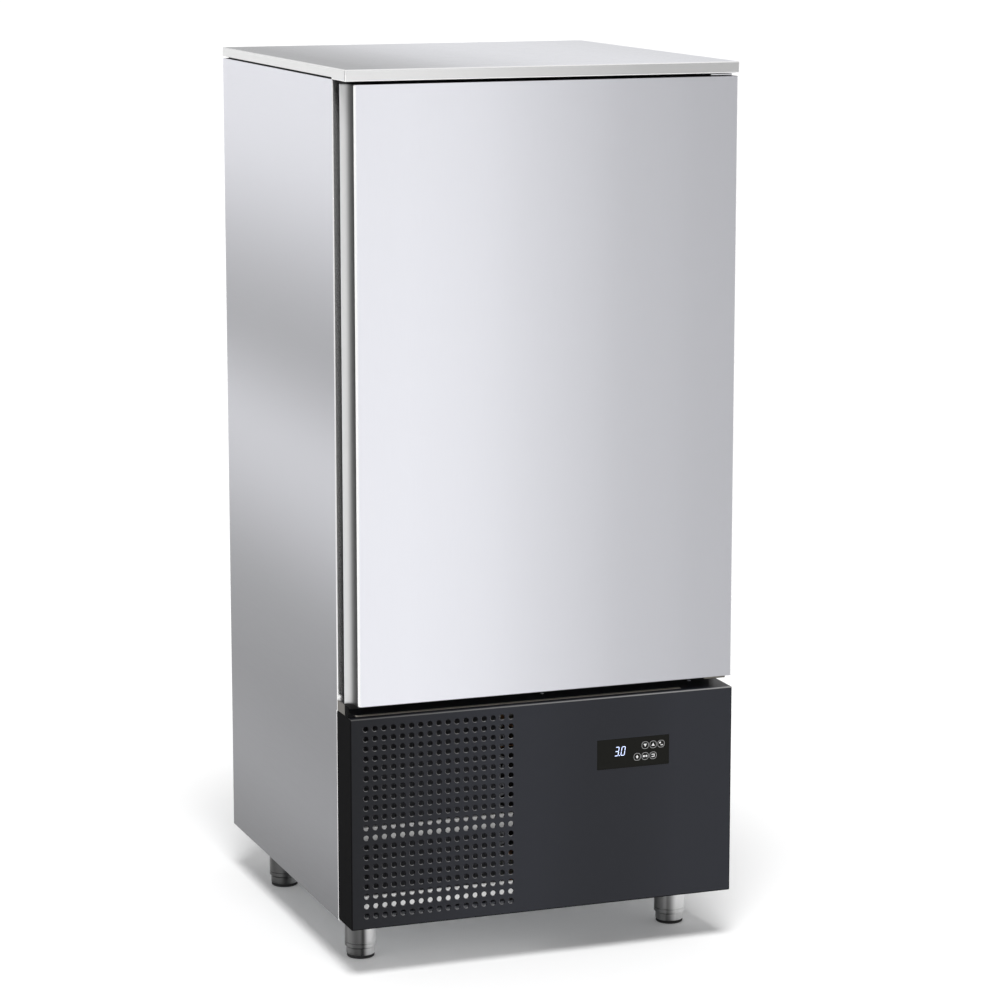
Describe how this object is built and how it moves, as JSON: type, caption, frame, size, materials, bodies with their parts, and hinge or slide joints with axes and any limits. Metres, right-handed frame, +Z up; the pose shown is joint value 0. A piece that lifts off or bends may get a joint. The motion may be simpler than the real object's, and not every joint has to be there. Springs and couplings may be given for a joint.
{
  "type": "blast chiller",
  "caption": "Upright blast chiller with one insulated full-height-pull door, tray racks, evaporator fans, and a condensing unit behind a perforated front panel.",
  "frame": {"origin": "on the floor under the middle of the bounding box", "axes": "+Z up, the door faces -Y, +X is to the right of someone facing the door"},
  "size_m": [0.79, 0.82, 1.74],
  "materials": {
    "stainless": "satin",
    "galvanised": "satin",
    "black_sheet": "satin",
    "black_plastic": "matte",
    "grey_plastic": "matte",
    "display_black": "gloss",
    "gasket_rubber": "matte",
    "foam": "matte",
    "aluminium": "satin",
    "copper": "satin",
    "black_enamel": "gloss",
    "pale_plastic": "matte"
  },
  "bodies": {
    "cabinet": {"worktop": "stainless", "side_panel_left": "stainless", "side_panel_right": "stainless", "chamber_liner": "stainless", "hinge_bracket_lower": "stainless", "hinge_bracket_upper": "stainless", "corner_plate": "stainless", "tray_rack_left": "stainless", "tray_rack_right": "stainless", "fan_baffle": "stainless", "evaporator_drip_tray": "stainless", "foot_sleeve_front_left": "stainless", "foot_sleeve_front_right": "stainless", "foot_sleeve_rear_left": "stainless", "foot_sleeve_rear_right": "stainless", "back_panel": "galvanised", "base_plate": "galvanised", "condenser_shroud": "galvanised", "evaporation_tray": "galvanised", "lower_panel": "black_sheet", "inlet_gland": "black_plastic", "front_frame": "grey_plastic", "display_module": "display_black", "wall_left": "foam", "wall_right": "foam", "wall_ceiling": "foam", "wall_floor": "foam", "wall_rear": "foam", "evaporator_coil": "aluminium", "condenser_coil": "aluminium", "evaporator_motor_1": "aluminium", "evaporator_motor_2": "aluminium", "discharge_pipe": "copper", "suction_pipe": "copper", "compressor": "black_enamel", "receiver": "black_enamel", "condenser_motor": "black_enamel", "electric_box": "pale_plastic"},
    "door": {"door_skin": "stainless", "door_core": "foam", "door_liner": "stainless", "door_cap_bottom": "grey_plastic", "door_cap_top": "grey_plastic", "door_grip": "black_plastic", "door_gasket": "gasket_rubber", "hinge_bush_lower": "black_plastic", "hinge_bush_upper": "black_plastic"},
    "foot_front_left": {"foot_adjuster_front_left": "stainless"},
    "foot_front_right": {"foot_adjuster_front_right": "stainless"},
    "foot_rear_left": {"foot_adjuster_rear_left": "stainless"},
    "foot_rear_right": {"foot_adjuster_rear_right": "stainless"},
    "key_1": {"key_1": "display_black"},
    "key_2": {"key_2": "display_black"},
    "key_3": {"key_3": "display_black"},
    "key_4": {"key_4": "display_black"},
    "key_5": {"key_5": "display_black"},
    "key_6": {"key_6": "display_black"},
    "evaporator_fan_1": {"evaporator_fan_1": "black_plastic"},
    "evaporator_fan_2": {"evaporator_fan_2": "black_plastic"},
    "condenser_fan": {"condenser_fan": "black_plastic"}
  },
  "joints": [
    {"name": "door_hinge", "type": "hinge", "parent": "cabinet", "child": "door", "pos_m": [0.363, -0.385, 0.539], "axis": [0, 0, 1], "range_deg": [0, 110]},
    {"name": "foot_front_left_level", "type": "slide", "parent": "cabinet", "child": "foot_front_left", "axis": [0, 0, -1], "range_m": [0, 0.03]},
    {"name": "foot_front_right_level", "type": "slide", "parent": "cabinet", "child": "foot_front_right", "axis": [0, 0, -1], "range_m": [0, 0.03]},
    {"name": "foot_rear_left_level", "type": "slide", "parent": "cabinet", "child": "foot_rear_left", "axis": [0, 0, -1], "range_m": [0, 0.03]},
    {"name": "foot_rear_right_level", "type": "slide", "parent": "cabinet", "child": "foot_rear_right", "axis": [0, 0, -1], "range_m": [0, 0.03]},
    {"name": "key_1_press", "type": "slide", "parent": "cabinet", "child": "key_1", "axis": [0, 1, 0], "range_m": [0, 0.0006], "stiffness_N_per_m": 500},
    {"name": "key_2_press", "type": "slide", "parent": "cabinet", "child": "key_2", "axis": [0, 1, 0], "range_m": [0, 0.0006], "stiffness_N_per_m": 500},
    {"name": "key_3_press", "type": "slide", "parent": "cabinet", "child": "key_3", "axis": [0, 1, 0], "range_m": [0, 0.0006], "stiffness_N_per_m": 500},
    {"name": "key_4_press", "type": "slide", "parent": "cabinet", "child": "key_4", "axis": [0, 1, 0], "range_m": [0, 0.0006], "stiffness_N_per_m": 500},
    {"name": "key_5_press", "type": "slide", "parent": "cabinet", "child": "key_5", "axis": [0, 1, 0], "range_m": [0, 0.0006], "stiffness_N_per_m": 500},
    {"name": "key_6_press", "type": "slide", "parent": "cabinet", "child": "key_6", "axis": [0, 1, 0], "range_m": [0, 0.0006], "stiffness_N_per_m": 500},
    {"name": "evaporator_fan_1_spin", "type": "hinge", "parent": "cabinet", "child": "evaporator_fan_1", "pos_m": [0, 0.12, 0.88], "axis": [0, 1, 0], "continuous": true},
    {"name": "evaporator_fan_2_spin", "type": "hinge", "parent": "cabinet", "child": "evaporator_fan_2", "pos_m": [0, 0.12, 1.37], "axis": [0, 1, 0], "continuous": true},
    {"name": "condenser_fan_spin", "type": "hinge", "parent": "cabinet", "child": "condenser_fan", "pos_m": [-0.212, -0.205, 0.2893], "axis": [0, 1, 0], "continuous": true}
  ]
}
